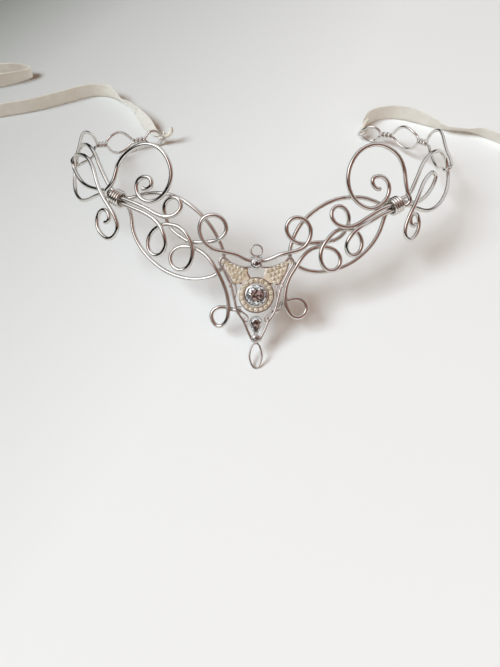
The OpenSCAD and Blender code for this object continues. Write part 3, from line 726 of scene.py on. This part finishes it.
def small_stones(name, node, places, d):
    bm = bmesh.new()
    for x, y in places:
        cut_stone(bm, (x, y, SMALL_GIRDLE_OUT), d, 8)
    bmesh.ops.recalc_face_normals(bm, faces=bm.faces)
    new_piece(name, bm, ON_DROP, CHAMPAGNE, "champagne_stone", 0, node)


small_stones("halo_of_stones", "halo_stones",
             round_places(HALO_R, CENTRE_UP, HALO_COUNT, 0.5), HALO_D)
for side, way in (("left", -1), ("right", 1)):
    small_stones("field_of_stones_" + side, "field_stones_" + side, field_places(way), FIELD_D)


# Ribbons. Columns as in the solids: across, back, up, lean (90 is upright), width
RIBBON_LEFT = [
    (-62, 166, 1.6, 50, 3), (-65.5, 168, 0.8, 50, 5), (-69.5, 172, 0.3, 55, 7.5),
    (-73.8, 178, 0.2, 68, 9), (-77.5, 185.5, 0.2, 85, 9), (-81.5, 194, 0.2, 105, 9),
    (-86, 200.7, 0.2, 120, 9), (-91, 205.5, 0.2, 110, 9), (-97, 210, 0.2, 95, 9),
    (-103, 212.7, 0.2, 91, 9), (-109, 213.2, 0.2, 90, 9), (-115, 211.9, 0.2, 90, 9),
    (-121, 209, 0.2, 90, 9), (-127, 205.6, 0.2, 90, 9), (-134, 201.8, 0.2, 90, 9),
    (-141, 198.2, 0.2, 90, 9), (-148, 195.2, 0.2, 90, 9), (-155, 192.8, 0.2, 90, 9),
    (-162, 190.6, 0.2, 90, 9), (-170, 188.2, 0.2, 90, 9), (-180, 187, 0.2, 90, 9),
    (-190, 190, 0.2, 90, 9), (-197, 198, 0.2, 90, 9), (-198, 208, 0.2, 90, 9),
    (-193, 216.5, 0.2, 90, 9), (-186, 221.5, 0.2, 90, 9), (-178.5, 224.5, 0.2, 90, 9),
    (-171, 228, 0.2, 85, 9), (-164.5, 232.5, 0.2, 80, 8), (-160.5, 236.3, 0.2, 80, 7),
    (-160, 239.5, 0.2, 90, 6.5), (-163.5, 241, 0.2, 95, 7.5), (-170, 240.5, 0.2, 95, 9),
    (-179, 239.5, 0.2, 92, 9), (-190, 239, 0.2, 90, 9)]
RIBBON_RIGHT = [
    (63, 169.5, 2, 95, 3), (63.5, 173, 0.8, 92, 6), (66, 178.5, 0.2, 90, 9),
    (70.5, 183, 0.2, 90, 9), (76.5, 186, 0.2, 90, 9), (83.5, 187, 0.2, 90, 9),
    (90.5, 186, 0.2, 90, 9), (97, 183.4, 0.2, 88, 9), (103, 180.3, 0.2, 80, 9),
    (109, 177.4, 0.2, 65, 9), (115, 175.2, 0.2, 48, 9), (122, 173.8, 0.2, 46, 9),
    (129, 172.4, 0.2, 48, 9), (135, 169.8, 0.2, 58, 9), (141, 165.2, 0.2, 64, 9),
    (147, 160.2, 0.2, 65, 9), (153, 155.5, 0.2, 65, 9)]
RIBBON_T = 0.3
STEPS_PER_ROW = 6
STRIPS_ACROSS = 10
RIPPLE_H = 0.25
RIPPLE_LENGTH = 9
RIPPLE_ACROSS = 0.6
RIPPLE_START = 3.1

# Knots. The tails' rows are places measured from the knot's middle
KNOT_R = 1.5
KNOT_TURNS = 2
TURN_STEPS = 16
KNOT_SECTION = (1.5, 1.9)
# How far the turns wander outwards and along the knot, and how often in a turn
KNOT_OUT, KNOT_OUT_PACE = 0.25, 0.7
KNOT_ALONG, KNOT_ALONG_PACE = 0.6, 0.5
TAIL_STEPS = 5
TAIL_NARROWING = 0.3
LEFT_TAIL = [(0.5, 0, 0.8), (2.6, 0.4, 1.2), (4.8, 0.8, 2.2), (6.3, 1.6, 4), (6, 2.6, 5.6)]
LEFT_TUCK = [(0.4, 0, 0.4), (1.4, 0.4, 2), (1.8, 0.8, 3.8)]
RIGHT_TAIL = [(0, 0.4, 0.6), (0.8, 3, 2), (2.4, 6, 3.4), (4.6, 8.6, 4)]
CRUMPLE_H = 0.16
CRUMPLE_LENGTH = 0.8


def ribbon_frames(route):
    """Foot, way up the ribbon's width, way through its thickness and width at each place."""
    rows = smooth_path(route, STEPS_PER_ROW)
    frames = []
    for i, row in enumerate(rows):
        ahead = (rows[min(i + 1, len(rows) - 1)] - rows[max(i - 1, 0)]).to_3d().normalized()
        up = (Vector((0, 0, 1)) - ahead * ahead.z).normalized()
        across = ahead.cross(up)
        lean = math.radians(row[3])
        wide = across * math.cos(lean) + up * math.sin(lean)
        thick = up * math.cos(lean) - across * math.sin(lean)
        frames.append((Vector(row[:3]), wide, thick, row[4]))
    return frames


def satin_ribbon(side, route):
    """A strip of cloth set on its route, gently rippled, with the length along it in its UV map."""
    frames = ribbon_frames(route)
    steps = len(frames) - 1
    middle = [foot + wide * width / 2 for foot, wide, thick, width in frames]
    run = [0.0]
    for a, b in zip(middle, middle[1:]):
        run.append(run[-1] + (b - a).length)
    bm = bmesh.new()
    bmesh.ops.create_grid(bm, x_segments=steps, y_segments=STRIPS_ACROSS, size=0.5)
    layer = bm.loops.layers.uv.new("along_across")
    spots = {}
    for vert in bm.verts:
        i = round((vert.co.x + 0.5) * steps)
        share = vert.co.y + 0.5
        foot, wide, thick, width = frames[i]
        wave = Vector((run[i] / RIPPLE_LENGTH, share * RIPPLE_ACROSS, RIPPLE_START))
        ripple = RIPPLE_H * noise.noise(wave)
        vert.co = foot + wide * width * share + thick * ripple * math.sin(math.pi * share)
        spots[vert] = (run[i] * MM, share * width * MM)
    for face in bm.faces:
        for loop in face.loops:
            loop[layer].uv = spots[loop.vert]
    piece = new_piece("satin_ribbon_" + side, bm, ON_TABLE, SATIN, "ribbon", 180, "ribbon_" + side)
    wall = piece.modifiers.new("thickness", "SOLIDIFY")
    wall.thickness = RIBBON_T * MM
    wall.offset = 0


def ribbon_knot(side, tails):
    """The ribbon wound twice round the end eye's fold, with the short tails that stick out of it.
    Columns of the tails: rows of places, width, thickness."""
    node = "knot_" + side
    places = np.array([v.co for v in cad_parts[node].data.vertices]) / MM
    middle = Vector((places.min(0) + places.max(0)) / 2)
    axis = Vector(np.linalg.svd(places - places.mean(0))[2][2])
    upright = axis.to_track_quat("Z", "Y").to_matrix()
    bm = bmesh.new()
    turns = []
    for i in range(KNOT_TURNS * TURN_STEPS + 1):
        a = math.tau * i / TURN_STEPS
        r = KNOT_R + KNOT_OUT * math.sin(a * KNOT_OUT_PACE)
        along = KNOT_ALONG * math.sin(a * KNOT_ALONG_PACE)
        turns.append(middle + upright @ Vector((r * math.cos(a), r * math.sin(a), along)))
    sweep(bm, turns, KNOT_SECTION)
    for tail, width, thickness in tails:
        path = smooth_path([middle + Vector(p) for p in tail], TAIL_STEPS)
        sweep(bm, path, (width, thickness), taper=lambda share: 1 - TAIL_NARROWING * share)
    for vert in bm.verts:
        vert.co += CRUMPLE_H * noise.noise_vector(vert.co / CRUMPLE_LENGTH)
    bm.loops.layers.uv.new("along_across")
    bmesh.ops.recalc_face_normals(bm, faces=bm.faces)
    return new_piece("ribbon_" + node, bm, TO_METRES, SATIN, "ribbon", 60, node)


left_knot = ribbon_knot("left", [(LEFT_TAIL, 3.2, 2.8), (LEFT_TUCK, 1.8, 1.8)])
right_knot = ribbon_knot("right", [(RIGHT_TAIL, 2.6, 2)])
satin_ribbon("left", RIBBON_LEFT)
satin_ribbon("right", RIBBON_RIGHT)


# Floor and light, in metres

FLOOR_SIZE = 3.0
# Lights, which the metal doesn't mirror. Columns: name, place, aim, width and height, watts, colour
LIGHTS = [
    ("window", (-2.5, -1.0, 3.0), (0, 0, 0), (2.0, 1.7), 180, "#e5f5fd"),
    ("fill", (0.3, -0.8, 0.8), (0.05, -0.25, 0), (0.9, 0.6), 1.6, "#ffe2d0")]
# The room that the metal mirrors. Its walls are pale, but dim and warm over the table's near edge
# towards the right. They rise from a dark horizon that stands higher on the left, where the
# window glows. An edge is where a tone gives way to the next, as cosines from the way before it
WALL, WARM_WALL = "#f4f4f6", "#96695a"
WARM_WAY, WARM_EDGE = (0.42, -0.64, 0.64), (0.6, 0.74)
HORIZON_WAY, HORIZON_EDGE = (0.22, 0, 1), (0.28, 0.44)
HORIZON_DARK = 0.02
WINDOW_WAY, WINDOW_EDGE = (-0.62, -0.25, 0.74), (0.84, 0.97)
ROOM_LEVEL, WINDOW_LEVEL = 0.88, 2.7
# What lights cloth and paper from all round, and what the camera sees behind the floor
SOFT_LIGHT, SOFT_LEVEL = "#ffd8bc", 0.28
BACKDROP = "#e6e5e3"


def paper_floor():
    bm = bmesh.new()
    bmesh.ops.create_grid(bm, x_segments=1, y_segments=1, size=FLOOR_SIZE / 2)
    data = bpy.data.meshes.new("paper_floor")
    bm.to_mesh(data)
    bm.free()
    data.materials.append(PAPER)
    floor = bpy.data.objects.new("paper_floor", data)
    bpy.context.scene.collection.objects.link(floor)


def area_light(name, at, towards, size, power, colour):
    data = bpy.data.lights.new(name, "AREA")
    data.shape = "RECTANGLE"
    data.size, data.size_y = size
    data.energy = power
    data.color = paint(colour)[:3]
    light = bpy.data.objects.new(name, data)
    bpy.context.scene.collection.objects.link(light)
    light.visible_glossy = False
    aimed = (Vector(towards) - Vector(at)).to_track_quat("-Z", "Y").to_matrix().to_4x4()
    light.matrix_world = Matrix.Translation(at) @ aimed


def soft_room():
    """Soft light from all round, a room for the metal to mirror, and a pale backdrop."""
    world = bpy.data.worlds.new("soft_room")
    world.use_nodes = True
    tree = world.node_tree
    tree.nodes.clear()
    way = add_node(tree, "ShaderNodeTexCoord").outputs["Generated"]
    to_warm, to_window, upwards = [
        add_node(tree, "ShaderNodeVectorMath", {"operation": "DOT_PRODUCT"}, {
            0: way, 1: side}).outputs["Value"]
        for side in (WARM_WAY, WINDOW_WAY, HORIZON_WAY)]
    walls = add_node(tree, "ShaderNodeValToRGB", inputs={"Fac": to_warm},
                     stops=((WARM_EDGE[0], paint(WALL)), (WARM_EDGE[1], paint(WARM_WALL))))
    horizon = add_node(tree, "ShaderNodeValToRGB", inputs={"Fac": upwards},
                       stops=((HORIZON_EDGE[0], grey(HORIZON_DARK)), (HORIZON_EDGE[1], grey(1))))
    shaded = add_node(tree, "ShaderNodeMix", {"data_type": "RGBA", "blend_type": "MULTIPLY"}, {
        0: 1.0, 6: walls.outputs["Color"], 7: horizon.outputs["Color"]})
    glow = add_node(tree, "ShaderNodeMapRange", {"interpolation_type": "SMOOTHSTEP"}, {
        "Value": to_window,
        "From Min": WINDOW_EDGE[0],
        "From Max": WINDOW_EDGE[1],
        "To Min": ROOM_LEVEL,
        "To Max": WINDOW_LEVEL})
    mirrored_room = add_node(tree, "ShaderNodeBackground", inputs={
        "Color": shaded.outputs[2], "Strength": glow.outputs["Result"]})
    soft_light = add_node(tree, "ShaderNodeBackground", inputs={
        "Color": paint(SOFT_LIGHT), "Strength": SOFT_LEVEL})
    backdrop = add_node(tree, "ShaderNodeBackground", inputs={"Color": paint(BACKDROP)})
    rays = add_node(tree, "ShaderNodeLightPath")
    lit = add_node(tree, "ShaderNodeMixShader", inputs={
        0: rays.outputs["Is Glossy Ray"], 1: soft_light.outputs[0], 2: mirrored_room.outputs[0]})
    shown = add_node(tree, "ShaderNodeMixShader", inputs={
        0: rays.outputs["Is Camera Ray"], 1: lit.outputs[0], 2: backdrop.outputs[0]})
    add_node(tree, "ShaderNodeOutputWorld", inputs={"Surface": shown.outputs[0]})
    bpy.context.scene.world = world


paper_floor()
soft_room()
for light in LIGHTS:
    area_light(*light)
bpy.context.scene.view_settings.view_transform = "Standard"
